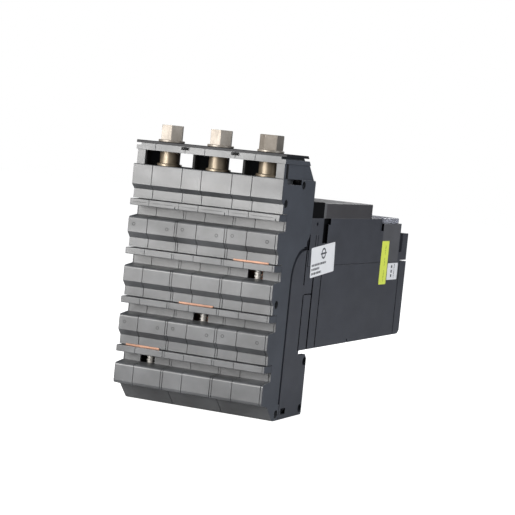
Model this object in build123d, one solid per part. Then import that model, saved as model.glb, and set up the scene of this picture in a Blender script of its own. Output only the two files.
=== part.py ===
from build123d import *
import os

# A three-pole plug-on power circuit breaker, lying on its back.
# Build frame, in millimetres: X runs across the poles, Y = 0 is the plane of the line-end rows and
# grows towards the load end, Z = 0 is the lowest edge of the line-end connector block and grows
# towards the front of the breaker, where its handle is. Everything is moved to ORIGIN at the end.

# ---------------------------------------------------------------- driving dimensions
WIDTH = 210.0                 # over the three poles
POLE_PITCH = 70.0
LEVEL_PITCH = 63.1            # from one bus bar to the next
LEVELS = 4                    # bus-bar slots in the connector block
BUS_TRAVEL = 9.5              # room that a jaw comb has to move down
POLES = {"left": (-POLE_PITCH, 3), "centre": (0.0, 2), "right": (POLE_PITCH, 1)}  # centre X, bus-bar level
POLE_CENTRES = (-POLE_PITCH, 0.0, POLE_PITCH)

SEAM_X = -7.5                 # seam between the half shells, from the pole centre
STRIP_X = 32.0                # near face of the insulating barrier, from the pole centre
HALF_POLE = POLE_PITCH / 2
HALF_WIDTH = WIDTH / 2
GAP = 0.35                    # half of the visible gap at a seam
WALL = 3.0

# Connector block, heights of the topmost level; the others repeat below it
ROW_BOTTOM = 281.9
FIRST_ROW_BOTTOM = 280.4      # the topmost row hangs a little lower
SECTION_TOP = 274.4
SECTION_BOTTOM = 262.6
RIB_TOP = 261.6
RIB_BOTTOM = 253.3
NEXT_ROW_BACK = 241.2
NEXT_ROW_FRONT = 238.3
WINDOW_FLOOR = 306.3
WINDOW_TOP = 324.9
FRAME_TOP = 333.4
BLOCK_TOP = 337.0
LAST_ROW_BOTTOM = 26.4
FOOT_TOP = 19.8

# Connector block, depths from the line-end plane
SECTION_Y = 7.1
RIB_Y = -0.8
NOSE_BACK = 21.4
PLATE_Y = 21.9
PLATE_T = 3.0
BAND_Y = 2.6
POST_Y = 4.2                  # end posts of the window
POST_BACK = 9.5
BOLT_Y = 31.5
BLOCK_BACK = 56.5
SHELF_BACK = 105.0
CHAMFER_SUM = 409.0           # the sloping back corner lies on Y + Z = this
SHOULDER_Y = 95.8             # centre and radius of the adapter's rounded shoulder
SHOULDER_Z = 178.5
SHOULDER_R = 38.0
SHOULDER_GAP = 1.5
SIDE_GAP = 3.5                # extra width of the gap before the adapter, at the sides
SIDE_GAP_DEPTH = 3.0
SKIN = 1.0                    # of the side walls beside the combs' face plates

# Clamp bolts and jaws
ROD_R = 5.0
RUNNING = 0.06                # radial running clearance
CLEAR = 0.6                   # radial clearance of a bolt hole
HEX_FLATS = 26.5
HEX_TOP = 359.0
HEX_TURN = {"left": 52, "centre": 51, "right": 19}  # how far each bolt was last turned, in degrees
THREAD_TURNS = 9
WASHER_R = 17.0
WASHER_T = 3.0
COLLAR_R = 13.0               # spacer sleeves around the bolts, in the window
COLLAR_FLANGE_R = 16.0
COLLAR_FLANGE_T = 3.4
THREAD_PITCH = 4.0            # coarse thread
THREAD_DEPTH = 1.2
THREAD_START = 1.6            # below the underside of the fixed jaw
THREAD_GROOVE = ((0.30, 0), (0.42, 1), (0.76, 1), (0.88, 0))  # shares of the pitch and of the depth
JAW_LEFT = -25.0              # copper jaw, from the pole centre
JAW_RIGHT = 23.5
JAW_Y = 5.8
PAD_BOTTOM = 260.6
JAW_BOTTOM = 261.9
JAW_TOP = 264.0
NUT_HALF = 18.0
BAR_LOW = 112.0               # main conductors in the breaker
BAR_HIGH = 118.0
BAR_HALF = 20.0

# Breaker case
CASE_BACK = 86.0
CASE_LINE = 103.5             # line end of the base, and of the cover above it
COVER_LINE = 105.3
CASE_SEAM = 195.0
CASE_FRONT = 258.0
TRIP_FRONT = 251.0
CASE_LOAD = 462.0
COVER_LOAD = 453.0
TRIP_STEP = 378.0
CAP_TOP = 278.0
CAP_LINE = 145.5
CAP_LOAD = 324.0
LOAD_END = 489.0
CASE_WALL = 4.0
FLOOR = 6.0
GROOVE = 2.5                  # depth of the moulded grooves in the sides

# Mechanism and contacts
CROSSBAR_Y = 270.0
CROSSBAR_Z = 150.0
CROSSBAR_R = 10.0
OPEN_ANGLE = 26.0             # contact arms, from closed to open
HANDLE_Y = 240.0
HANDLE_Z = 214.0
HANDLE_TILT = 17.0            # either side of upright
HANDLE_TOP = 312.0
SLOT_HALF = 14.0
PIN_R = 3.0
DIAL_X = (12.0, 44.0)
DIAL_Y = 412.0
DIAL_R = 7.0
DIAL_STEM_R = 2.0
LID_Y = 444.0                 # hinge of the lid over the trip unit
LID_Z = 254.2
LID_PIN_R = 1.5
LID_EARS = (-50.0, 18.0, 86.0)

# Load end
LUG_Y = (464.0, 486.0)
LUG_Z = 132.0
LUG_BORE_R = 9.0
MOUNT_X = 70.0
MOUNT_Y = 120.0
MOUNT_R = 3.4
EAR_HOLE_Y = 126.0            # holes in the lower ears of the adapter
EAR_HOLE_Z = (8.5, 70.5)
EAR_HOLE_R = 5.5
EAR_SCREW_Y = 125.4           # screw holes in the thin side ears
EAR_SCREW_Z = 250.5
EAR_SCREW_R = 2.6

ORIGIN = (0.0, 297.0, CASE_BACK)

TIE_HOLES = {"top": (66.3, 299.6), "row": (14.6, 275.6), "middle": (16.0, 149.4), "foot": (48.7, 8.2)}
TIE_R = 2.0
TIE_HEAD_R = 4.6
TIE_SINK_R = 5.3
TIE_SINK = 9.0
TIE_HEAD = 2.2


# ---------------------------------------------------------------- helpers
def block(x0, x1, y0, y1, z0, z1):
    """Box between two corners."""
    return Pos((x0 + x1) / 2, (y0 + y1) / 2, (z0 + z1) / 2) * Box(x1 - x0, y1 - y0, z1 - z0)


def slab(points, x0, x1):
    """Side outline, as (Y, Z) points, extruded from x0 to x1."""
    face = Plane.YZ.offset(x0) * Polygon(*points, align=None)
    return extrude(face, amount=x1 - x0)


def post(radius, x, y, z0, z1):
    """Upright cylinder."""
    return Pos(x, y, (z0 + z1) / 2) * Cylinder(radius, z1 - z0)


def bar_x(radius, x0, x1, y, z):
    """Cylinder lying across the poles."""
    return Pos((x0 + x1) / 2, y, z) * Rot(Y=90) * Cylinder(radius, x1 - x0)


def bar_y(radius, x, y0, y1, z):
    """Cylinder lying from line end to load end."""
    return Pos(x, (y0 + y1) / 2, z) * Rot(X=90) * Cylinder(radius, y1 - y0)


def x_edges(shape, y, z):
    """Edges along X that pass through one (Y, Z) point."""
    found = []
    for edge in shape.edges().filter_by(Axis.X):
        middle = edge.center()
        if abs(middle.Y - y) < 0.1 and abs(middle.Z - z) < 0.1:
            found.append(edge)
    return found


def both_sides(shape):
    """The shape and its mirror image across the middle plane."""
    return shape + mirror(shape, Plane.YZ)


def turned(shape, angle, y, z):
    """The shape turned about an axis along X through (Y, Z)."""
    return Pos(0, y, z) * Rot(X=angle) * Pos(0, -y, -z) * shape


# ---------------------------------------------------------------- connector block
def row_outline(row):
    """Outline of one insulating row: its face, the undercut and the section below it."""
    drop = LEVEL_PITCH * row
    if row == 0:
        points = [(NOSE_BACK, WINDOW_FLOOR), (0.8, WINDOW_FLOOR), (0, WINDOW_FLOOR - 0.8)]
    else:
        above = drop - LEVEL_PITCH
        points = [(NOSE_BACK, NEXT_ROW_BACK - above), (0, NEXT_ROW_FRONT - above)]
    if row == LEVELS:
        points += [(0, LAST_ROW_BOTTOM), (1.1, LAST_ROW_BOTTOM - 3), (18.9, FOOT_TOP), (NOSE_BACK, FOOT_TOP)]
    else:
        row_bottom = FIRST_ROW_BOTTOM if row == 0 else ROW_BOTTOM - drop
        points += [(0, row_bottom), (SECTION_Y, SECTION_TOP - drop)]
        points += [(SECTION_Y, SECTION_BOTTOM - drop), (NOSE_BACK, SECTION_BOTTOM - drop)]
    return points


def row_nose(row, x0, x1):
    """One insulating row with its rounded upper edge."""
    nose = slab(row_outline(row), x0, x1)
    if row > 0:
        nose = fillet(x_edges(nose, 0, NEXT_ROW_FRONT - LEVEL_PITCH * (row - 1)), 3.2)
    return nose


def row_ends(x0, x1):
    """Ends of a row between two seams: the outer ends of the block stand flush with its sides."""
    low = x0 if x0 <= -HALF_WIDTH else x0 + GAP
    high = x1 if x1 >= HALF_WIDTH else x1 - GAP
    return low, high


def adapter_room(extra, x0, x1):
    """Space taken by the adapter and its gap, with the rounded shoulder, between two X planes."""
    radius = SHOULDER_R + SHOULDER_GAP + extra
    low = block(x0, x1, BLOCK_BACK - extra, 150, -10, SHOULDER_Z)
    round_part = bar_x(radius, x0, x1, SHOULDER_Y, SHOULDER_Z)
    high = block(x0, x1, SHOULDER_Y, 150, SHOULDER_Z - 5, SHOULDER_Z + radius)
    return low + round_part + high


ADAPTER_ROOM = adapter_room(0, -HALF_WIDTH - 5, HALF_WIDTH + 5)
SIDE_ROOM = both_sides(adapter_room(SIDE_GAP, HALF_WIDTH - SIDE_GAP_DEPTH, HALF_WIDTH + 5))


def block_body(x0, x1):
    """Slab of the block behind the rows, with room for the combs' face plates to move."""
    outline = [(NOSE_BACK, FOOT_TOP), (SHOULDER_Y, FOOT_TOP), (SHOULDER_Y, 228), (100.5, 231.5)]
    outline += [(SHELF_BACK, 239), (SHELF_BACK, CHAMFER_SUM - SHELF_BACK)]
    outline += [(CHAMFER_SUM - WINDOW_FLOOR, WINDOW_FLOOR), (NOSE_BACK, WINDOW_FLOOR)]
    body = slab(outline, x0, x1) - ADAPTER_ROOM - SIDE_ROOM
    low = x0 + SKIN if x0 <= -HALF_WIDTH else x0 - 1
    high = x1 - SKIN if x1 >= HALF_WIDTH else x1 + 1
    for level in range(LEVELS):
        top = SECTION_BOTTOM + 9.2 - LEVEL_PITCH * level
        bottom = NEXT_ROW_BACK - 1 - BUS_TRAVEL - LEVEL_PITCH * level
        body -= block(low, high, NOSE_BACK - 1, PLATE_Y + PLATE_T + 0.5, bottom, top)
    return body


def cut_tie_holes(shape):
    """Holes for the tie rods, with sunk seats for their heads in both sides of the block."""
    for y, z in TIE_HOLES.values():
        shape -= bar_x(TIE_R + 0.1, -HALF_WIDTH - 1, HALF_WIDTH + 1, y, z)
        shape -= both_sides(bar_x(TIE_SINK_R, HALF_WIDTH - TIE_SINK, HALF_WIDTH + 1, y, z))
    return shape


def chambers(x0, x1):
    """Hollow inside a half shell: the comb's shaft and the space behind the upper shelf."""
    shaft = block(x0, x1, NOSE_BACK - 1, BLOCK_BACK - 4, 24, SECTION_BOTTOM + 9.2)
    shelf = block(x0, x1, 48, SHELF_BACK - 5, 236, 292)
    return shaft + shelf


def half_shell(pole_x, level, side):
    """Half of one pole's moulded housing, left or right of the pole seam."""
    if side == "left":
        x0, x1 = pole_x - HALF_POLE, pole_x + SEAM_X
        hollow = chambers(x0 + WALL, x1 + 1)
    else:
        x0, x1 = pole_x + SEAM_X, pole_x + STRIP_X
        hollow = chambers(x0 - 1, x1 - WALL)
    shell = block_body(x0, x1) - hollow
    shell -= block(pole_x - BAR_HALF - 0.5, pole_x + BAR_HALF + 0.5, 48, 60, BAR_LOW - 0.5, BAR_HIGH + 0.5)
    top_end = pole_x + HALF_POLE if side == "right" else x1
    shell += row_nose(0, *row_ends(x0, top_end))
    for row in range(1, LEVELS + 1):
        shell += row_nose(row, *row_ends(x0, x1))
    drop = LEVEL_PITCH * level
    shell -= block(pole_x + JAW_LEFT, pole_x + JAW_RIGHT, 5, NOSE_BACK + 1, JAW_BOTTOM - drop, JAW_TOP - drop)
    shell -= post(ROD_R + RUNNING, pole_x, BOLT_Y, 240, 320)
    if side == "left":
        guide_y = POST_BACK if x0 <= -HALF_WIDTH else 8.0
        guide = block(pole_x - 26.5, pole_x - 21, guide_y, 60, WINDOW_FLOOR, WINDOW_TOP)
        shell += fillet(guide.edges().filter_by(Axis.Z), 2.2)
    shell = cut_tie_holes(shell)
    if pole_x > 0 and side == "right":
        shell -= block(x1 - 4, HALF_WIDTH + 1, 12, 38, 299.5, WINDOW_FLOOR + 1)
        shell -= block(x1 - 9, x1 + 1, 38, 58, 299.5, WINDOW_FLOOR + 1)
    return shell


def barrier(pole_x):
    """Insulating barrier beside one pole, with the same front outline as the rows."""
    x0, x1 = pole_x + STRIP_X, pole_x + HALF_POLE
    plate = block_body(x0, x1)
    for row in range(1, LEVELS + 1):
        plate += row_nose(row, *row_ends(x0, x1))
    plate = cut_tie_holes(plate)
    if pole_x > 0:
        plate -= block(x0 - 1, x1 + 1, NOSE_BACK, 58, 299.5, WINDOW_FLOOR + 1)
    return plate


def block_feet():
    """Sloping foot under each pole."""
    feet = []
    for pole_x in POLE_CENTRES:
        outline = [(18.9, FOOT_TOP), (18.9 + FOOT_TOP, 0), (BLOCK_BACK, 0), (BLOCK_BACK, FOOT_TOP)]
        foot = slab(outline, *row_ends(pole_x - HALF_POLE, pole_x + HALF_POLE))
        foot = fillet(x_edges(foot, 18.9 + FOOT_TOP, 0), 9)
        feet.append(cut_tie_holes(foot))
    return Compound(children=feet)


def bolt_holes(shape):
    """Clearance holes for the three clamp bolts."""
    for pole_x in POLE_CENTRES:
        shape -= post(ROD_R + CLEAR, pole_x, BOLT_Y, WINDOW_FLOOR - 1, HEX_TOP)
    return shape


def seam_grooves(shape, y, z0, z1):
    """Thin upright grooves on a front face at the pole seams."""
    for pole_x in POLE_CENTRES:
        for x in (pole_x + SEAM_X, pole_x + HALF_POLE):
            if x < HALF_WIDTH:
                shape -= block(x - 0.25, x + 0.25, y - 1, y + 0.8, z0, z1)
    return shape


def top_frame():
    """Upper frame of the window: band, end posts and end cheeks."""
    outline = [(BAND_Y, WINDOW_TOP), (CHAMFER_SUM - WINDOW_TOP, WINDOW_TOP)]
    outline += [(CHAMFER_SUM - FRAME_TOP, FRAME_TOP), (BAND_Y, FRAME_TOP)]
    frame = slab(outline, -HALF_WIDTH + 0.5, HALF_WIDTH - 0.5)
    frame -= both_sides(block(98, HALF_WIDTH + 1, 0, 90, 330.4, FRAME_TOP + 1))
    frame += both_sides(block(92, 103, POST_Y, POST_BACK, WINDOW_FLOOR, WINDOW_TOP))
    cheek = [(17, WINDOW_FLOOR), (CHAMFER_SUM - WINDOW_FLOOR, WINDOW_FLOOR)]
    cheek += [(CHAMFER_SUM - WINDOW_TOP, WINDOW_TOP), (17, WINDOW_TOP)]
    frame += both_sides(slab(cheek, 99, 103))
    for x in (-HALF_POLE, HALF_POLE):
        frame -= block(x - 5.5, x + 5.5, BAND_Y - 1, BAND_Y + 1.2, 329.2, 332.8)
    return bolt_holes(seam_grooves(frame, BAND_Y, WINDOW_TOP - 1, FRAME_TOP + 1))


def top_cover():
    """Flat cover plate that the bolt heads bear on."""
    outline = [(BAND_Y, FRAME_TOP), (CHAMFER_SUM - FRAME_TOP, FRAME_TOP)]
    outline += [(CHAMFER_SUM - BLOCK_TOP, BLOCK_TOP), (BAND_Y, BLOCK_TOP)]
    plate = slab(outline, -HALF_WIDTH, HALF_WIDTH)
    plate = fillet(x_edges(plate, BAND_Y, BLOCK_TOP), 1.0)
    return bolt_holes(plate)


def frame_clips():
    """Small clips that join the band at the pole seams, each with two pin holes."""
    clips = []
    for x in (-HALF_POLE, HALF_POLE):
        clip = block(x - 5.5, x + 5.5, BAND_Y - 0.3, BAND_Y + 1.2, 329.2, 332.8)
        clip = fillet(clip.edges().filter_by(Axis.Y), 1.6)
        clip -= bar_y(1.0, x - 3.9, BAND_Y - 1, BAND_Y + 2, 331.4)
        clip -= bar_y(1.0, x + 3.9, BAND_Y - 1, BAND_Y + 2, 330.6)
        clips.append(clip)
    return Compound(children=clips)


def tie_rods():
    """Rods that hold the half shells together, with a socket head at each end."""
    rods = []
    for y, z in TIE_HOLES.values():
        rod = bar_x(TIE_R, -HALF_WIDTH + TIE_SINK, HALF_WIDTH - TIE_SINK, y, z)
        head = bar_x(TIE_HEAD_R, HALF_WIDTH - TIE_SINK, HALF_WIDTH - TIE_SINK + TIE_HEAD, y, z)
        socket = Plane.YZ.offset(HALF_WIDTH - TIE_SINK + 1) * Pos(y, z) * RegularPolygon(2.6, 6)
        head -= extrude(socket, amount=3)
        rods.append(rod + both_sides(head))
    return Compound(children=rods)


# ---------------------------------------------------------------- clamp bolts and jaws
def clamp_bolt(pole_x, level, head_turn):
    """Long hexagon-headed bolt, threaded where its jaw nut runs."""
    drop = LEVEL_PITCH * level
    thread_top = JAW_BOTTOM - THREAD_START - drop
    thread_end = thread_top - THREAD_TURNS * THREAD_PITCH
    head_low = BLOCK_TOP + WASHER_T
    outline = [(0, head_low + 5), (ROD_R, head_low + 5), (ROD_R, thread_top)]
    for turn in range(THREAD_TURNS):
        crest = thread_top - turn * THREAD_PITCH
        for along, deep in THREAD_GROOVE:
            outline.append((ROD_R - deep * THREAD_DEPTH, crest - along * THREAD_PITCH))
    outline += [(ROD_R, thread_end), (ROD_R - 1.5, thread_end - 1.5), (0, thread_end - 1.5)]
    shank = revolve(Plane.XZ * Polygon(*outline, align=None), Axis.Z)
    hexagon = RegularPolygon(HEX_FLATS / 2, 6, major_radius=False)
    head = Pos(0, 0, head_low) * extrude(hexagon, amount=HEX_TOP - head_low)
    crown = Pos(0, 0, HEX_TOP - 10) * Cone(HEX_FLATS / 2 + 21.5, HEX_FLATS / 2 + 1.5, 20)
    return Pos(pole_x, BOLT_Y, 0) * Rot(Z=head_turn) * (shank + (head & crown))


def bolt_washers():
    """Plain washers under the bolt heads."""
    rings = []
    for pole_x in POLE_CENTRES:
        ring = post(WASHER_R, pole_x, BOLT_Y, BLOCK_TOP, BLOCK_TOP + WASHER_T)
        ring = chamfer(ring.edges().filter_by(GeomType.CIRCLE), 0.5)
        rings.append(ring - post(ROD_R + CLEAR, pole_x, BOLT_Y, BLOCK_TOP - 1, BLOCK_TOP + 5))
    return Compound(children=rings)


def bolt_collars():
    """Flanged spacer sleeves around the bolts inside the window."""
    sleeves = []
    for pole_x in POLE_CENTRES:
        sleeve = post(COLLAR_R, pole_x, BOLT_Y, WINDOW_FLOOR, WINDOW_TOP)
        flange = post(COLLAR_FLANGE_R, pole_x, BOLT_Y, WINDOW_FLOOR, WINDOW_FLOOR + COLLAR_FLANGE_T)
        flange = chamfer(flange.edges().sort_by(Axis.Z)[-1], 1.0)
        bore = post(ROD_R + CLEAR, pole_x, BOLT_Y, WINDOW_FLOOR - 1, WINDOW_TOP + 1)
        sleeves.append(sleeve + flange - bore)
    return Compound(children=sleeves)


def jaw_comb(pole_x, level):
    """Sliding insulating comb: four ribs and face plates on two rails."""
    x0, x1 = pole_x - HALF_POLE + 0.2, pole_x + HALF_POLE - 0.2
    inner = HALF_WIDTH - SKIN - 0.2
    plate_x0, plate_x1 = max(x0, -inner), min(x1, inner)
    plate_low = NEXT_ROW_BACK - 1.2
    plate_high = SECTION_BOTTOM + 8.4
    comb = None
    for index in range(LEVELS):
        drop = LEVEL_PITCH * index
        rib = block(x0, x1, RIB_Y, NOSE_BACK - 0.2, RIB_BOTTOM - drop, RIB_TOP - drop)
        rib = fillet(x_edges(rib, RIB_Y, RIB_TOP - drop) + x_edges(rib, RIB_Y, RIB_BOTTOM - drop), 0.7)
        plate = block(plate_x0, plate_x1, PLATE_Y, PLATE_Y + PLATE_T, plate_low - drop, plate_high - drop)
        plate += block(plate_x0, plate_x1, NOSE_BACK - 0.2, PLATE_Y, RIB_BOTTOM - drop, RIB_TOP - drop)
        if index == 0:
            for x, half in ((-21, 9), (12, 14)):
                rib -= block(pole_x + x - half, pole_x + x + half, RIB_Y - 1, RIB_Y + 0.5, 257.3, 257.7)
            notch = block(29.4, 30.2, RIB_Y - 1, RIB_Y + 1.5, RIB_BOTTOM - 1, RIB_BOTTOM + 3.2)
            rib -= Pos(pole_x, 0, 0) * notch
        arm = rib + plate
        for x in (pole_x + SEAM_X, pole_x + STRIP_X):
            if index > 0 or x < pole_x:
                groove = block(x - 0.3, x + 0.3, RIB_Y - 1, RIB_Y + 0.9, RIB_BOTTOM - 1, RIB_TOP + 1)
                arm -= Pos(0, 0, -drop) * groove
            low = plate_low - 1 - drop
            arm -= block(x - 0.3, x + 0.3, PLATE_Y - 1, PLATE_Y + 0.9, low, RIB_BOTTOM - drop)
        comb = arm if comb is None else comb + arm
    low = plate_low - LEVEL_PITCH * (LEVELS - 1)
    comb += block(pole_x - 31.5, pole_x - 27, PLATE_Y, PLATE_Y + 8, low, plate_high)
    comb += block(pole_x + 24.2, pole_x + 28.7, PLATE_Y, PLATE_Y + 8, low, plate_high)
    drop = LEVEL_PITCH * level
    left, right = pole_x + JAW_LEFT, pole_x + JAW_RIGHT
    back = PLATE_Y + PLATE_T + 0.1
    comb -= block(pole_x - 10.5, pole_x + 10.5, PLATE_Y, back, plate_low - 1 - drop, RIB_BOTTOM - drop)
    room = NUT_HALF + 0.2
    comb -= block(pole_x - room, pole_x + room, 3.8, back, 255.4 - drop, RIB_TOP + 1 - drop)
    comb -= block(left, right, JAW_Y, PLATE_Y, PAD_BOTTOM - drop, RIB_TOP + 1 - drop)
    comb -= block(left - 0.6, right + 0.6, PLATE_Y, back, RIB_TOP - drop, plate_high + 1 - drop)
    return comb


def jaw_nut(pole_x, level):
    """Steel nut block that the bolt drives, with the tongue that lifts the moving jaw."""
    drop = LEVEL_PITCH * level
    x0, x1 = pole_x - NUT_HALF, pole_x + NUT_HALF
    nut = block(x0, x1, PLATE_Y + PLATE_T + 0.4, 44, RIB_BOTTOM - 0.5 - drop, RIB_TOP - 0.1 - drop)
    nut = chamfer(nut.edges().filter_by(Axis.Z).sort_by(Axis.Y)[-2:], 3)
    nut += block(x0, x1, 4, PLATE_Y + PLATE_T + 0.4, 255.4 - drop, PAD_BOTTOM - drop)
    return nut - post(ROD_R + RUNNING, pole_x, BOLT_Y, 240 - drop, 275 - drop)


def jaw_pad(pole_x, level):
    """Copper face of the moving jaw, let into the top of the rib."""
    drop = LEVEL_PITCH * level
    return block(pole_x + JAW_LEFT, pole_x + JAW_RIGHT, JAW_Y, PLATE_Y, PAD_BOTTOM - drop, RIB_TOP - drop)


def line_conductor(pole_x, level):
    """Copper fixed jaw, riser and fixed-contact bar in one piece."""
    drop = LEVEL_PITCH * level
    jaw_low, jaw_high = JAW_BOTTOM - drop, JAW_TOP - drop
    x0, x1 = pole_x - BAR_HALF, pole_x + BAR_HALF
    bar = block(pole_x + JAW_LEFT + 0.1, pole_x + JAW_RIGHT - 0.1, JAW_Y, PLATE_Y + 2, jaw_low, jaw_high)
    bar += block(x0, x1, PLATE_Y + 2, 52, jaw_low, jaw_high)
    bar += block(x0, x1, 46, 52, min(jaw_low, BAR_LOW), max(jaw_high, BAR_HIGH))
    bar += block(x0, x1, 46, 204, BAR_LOW, BAR_HIGH)
    bar += block(pole_x - 12, pole_x + 12, 186, 202, BAR_HIGH, BAR_HIGH + 3)
    return bar - post(ROD_R + 2, pole_x, BOLT_Y, jaw_low - 1, jaw_high + 1)


# ---------------------------------------------------------------- adapter and mounting ears
def line_adapter():
    """Moulded adapter that carries the connector block on the breaker case."""
    outline = [(58, 0), (131, 0), (132.5, 3), (132.5, 74), (127, 80), (CASE_LINE, 80), (CASE_LINE, 216.5)]
    outline += [(SHOULDER_Y, 216.5), (SHOULDER_Y, SHOULDER_Z), (58, SHOULDER_Z)]
    adapter = slab(outline, -HALF_WIDTH, HALF_WIDTH)
    adapter += bar_x(SHOULDER_R - 0.2, -HALF_WIDTH, HALF_WIDTH, SHOULDER_Y, SHOULDER_Z) \
        - block(-HALF_WIDTH - 1, HALF_WIDTH + 1, SHOULDER_Y, 200, 100, 300) \
        - block(-HALF_WIDTH - 1, HALF_WIDTH + 1, 0, 200, 100, SHOULDER_Z)
    inside = HALF_WIDTH - 5
    adapter -= block(-inside, inside, 63, 98.5, 6, SHOULDER_Z)
    adapter -= block(-inside, inside, 80, 98.5, SHOULDER_Z - 1, 207)
    adapter -= block(-inside, inside, CASE_LINE, 140, 6, 90)
    for pole_x in POLE_CENTRES:
        x0, x1 = pole_x - BAR_HALF - 0.5, pole_x + BAR_HALF + 0.5
        adapter -= block(x0, x1, 50, 110, BAR_LOW - 0.5, BAR_HIGH + 0.5)
    adapter -= both_sides(block(inside - 1, HALF_WIDTH + 1, 63.5, 78, 6, 14))
    groove = HALF_WIDTH - GROOVE
    adapter -= both_sides(block(groove, HALF_WIDTH + 1, 99.2, 102.0, CASE_BACK, 158.4))
    adapter -= both_sides(block(groove, HALF_WIDTH + 1, 97.4, 100.4, 171, 217))
    for z in EAR_HOLE_Z:
        adapter -= bar_x(EAR_HOLE_R, -HALF_WIDTH - 1, HALF_WIDTH + 1, EAR_HOLE_Y, z)
    return adapter


def mounting_ears():
    """Thin side ears beside the line end of the cover, each with a screw hole."""
    ear = block(103.4, HALF_WIDTH, COVER_LINE, 146, 236.5, 256.4)
    ear -= bar_x(EAR_SCREW_R, 100, HALF_WIDTH + 1, EAR_SCREW_Y, EAR_SCREW_Z)
    return both_sides(ear)


# ---------------------------------------------------------------- breaker case
def pole_rooms(y0, y1, z0, z1):
    """Room inside the case for each pole, between the outer and the inter-pole walls."""
    rooms = None
    for pole_x in POLE_CENTRES:
        x0 = max(pole_x - HALF_POLE + 2, -HALF_WIDTH + CASE_WALL)
        x1 = min(pole_x + HALF_POLE - 2, HALF_WIDTH - CASE_WALL)
        room = block(x0, x1, y0, y1, z0, z1)
        rooms = room if rooms is None else rooms + room
    return rooms


def case_base():
    """Moulded base with three pole rooms, floor bosses and conductor windows."""
    base = block(-HALF_WIDTH, HALF_WIDTH, CASE_LINE, CASE_LOAD, CASE_BACK, CASE_SEAM)
    base -= pole_rooms(110, 455, CASE_BACK + FLOOR, CASE_SEAM + 1)
    for pole_x in POLE_CENTRES:
        x0, x1 = pole_x - BAR_HALF - 0.5, pole_x + BAR_HALF + 0.5
        base -= block(x0, x1, 100, 111, BAR_LOW - 0.5, BAR_HIGH + 0.5)
        base -= block(x0, x1, 454, 465, BAR_LOW - 0.5, BAR_HIGH + 0.5)
    base -= bar_x(CROSSBAR_R + RUNNING, -50, 50, CROSSBAR_Y, CROSSBAR_Z)
    for x in (-MOUNT_X, MOUNT_X):
        for y in (ORIGIN[1] - MOUNT_Y, ORIGIN[1] + MOUNT_Y):
            base += block(x - 8, x + 8, y - 8, y + 8, CASE_BACK + FLOOR, CASE_BACK + 18)
            base -= post(MOUNT_R, x, y, CASE_BACK - 1, CASE_BACK + 14)
    groove = HALF_WIDTH - GROOVE
    base -= both_sides(block(groove, HALF_WIDTH + 1, 126.7, 130.6, 80, 200))
    base -= both_sides(block(groove, HALF_WIDTH + 1, 154.8, 157.3, 80, 200))
    base -= both_sides(block(groove, HALF_WIDTH + 1, CASE_LINE - 1, 127, 158.2, 159.8))
    base -= both_sides(block(groove, HALF_WIDTH + 1, 458.8, CASE_LOAD + 1, 80, 200))
    base -= block(-HALF_WIDTH - 1, HALF_WIDTH + 1, 272.5, 276.5, 80, CASE_BACK + 5)
    return base


def case_cover():
    """Moulded front cover with the handle slot and the trip unit's window."""
    cover = block(-HALF_WIDTH, HALF_WIDTH, COVER_LINE, COVER_LOAD, CASE_SEAM, CASE_FRONT)
    cover -= block(-HALF_WIDTH - 1, HALF_WIDTH + 1, TRIP_STEP, 500, TRIP_FRONT, 300)
    cover -= pole_rooms(110, TRIP_STEP - 6, CASE_SEAM - 1, CASE_FRONT - FLOOR)
    cover -= pole_rooms(110, 447, CASE_SEAM - 1, TRIP_FRONT - 5)
    cover -= block(-70.5, 70.5, 335.5, 446.5, 204.5, TRIP_FRONT - 5)
    cover -= block(-66.5, 66.5, 381.5, 442.5, 240, 260)
    cover -= block(-SLOT_HALF, SLOT_HALF, 205, 275, 240, 260)
    side = HALF_WIDTH - 3.2
    cover -= both_sides(block(side, HALF_WIDTH + 1, 147, 164, 225, 260))
    cover -= both_sides(block(side, HALF_WIDTH + 1, 147, 171, 249.6, 260))
    cover -= both_sides(block(side, HALF_WIDTH + 1, 364, 378, 240.5, 260))
    cover -= both_sides(block(103.4, HALF_WIDTH + 1, 105, 146, 236.5, 256.4))
    cover -= both_sides(block(103.4, HALF_WIDTH + 1, 378.5, 450, CASE_SEAM + 0.5, 250.5))
    groove = HALF_WIDTH - GROOVE
    cover -= both_sides(block(groove, HALF_WIDTH + 1, 124.4, 126.0, CASE_SEAM - 1, 236.5))
    cover -= both_sides(block(groove, HALF_WIDTH + 1, 132.0, 133.4, 220, 236.5))
    cover -= both_sides(block(groove, HALF_WIDTH + 1, 104, 378.5, CASE_SEAM - 1, CASE_SEAM + 0.6))
    cover -= bar_x(EAR_SCREW_R, -HALF_WIDTH, HALF_WIDTH, EAR_SCREW_Y, EAR_SCREW_Z)
    for x in LID_EARS:
        cover += bar_x(2.2, x - 3, x + 3, LID_Y, LID_Z)
        cover += block(x - 3, x + 3, LID_Y - 1.8, LID_Y + 1.8, 250, LID_Z)
    return cover - bar_x(LID_PIN_R + 0.02, -HALF_WIDTH, HALF_WIDTH, LID_Y, LID_Z)


def front_cap():
    """Raised accessory cover around the handle, with rounded line-end corners."""
    cap = block(-HALF_WIDTH, HALF_WIDTH, CAP_LINE, CAP_LOAD, CASE_FRONT, CAP_TOP)
    cap = fillet(cap.edges().filter_by(Axis.Z).sort_by(Axis.Y)[:2], 9)
    cap = fillet(cap.faces().sort_by(Axis.Z)[-1].edges(), 1.2)
    cap -= block(-HALF_WIDTH + 9, HALF_WIDTH - 9, CAP_LINE + 6, CAP_LOAD - 4, CASE_FRONT - 1, CAP_TOP - 3)
    cap -= block(-SLOT_HALF, SLOT_HALF, 205, 275, 250, 290)
    cap -= post(5.4, -50, 300, 250, 290)
    for x in (-92, 92):
        for y in (168, 312):
            cap -= post(4.6, x, y, CAP_TOP - 2.2, CAP_TOP + 1)
    return cap


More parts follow.
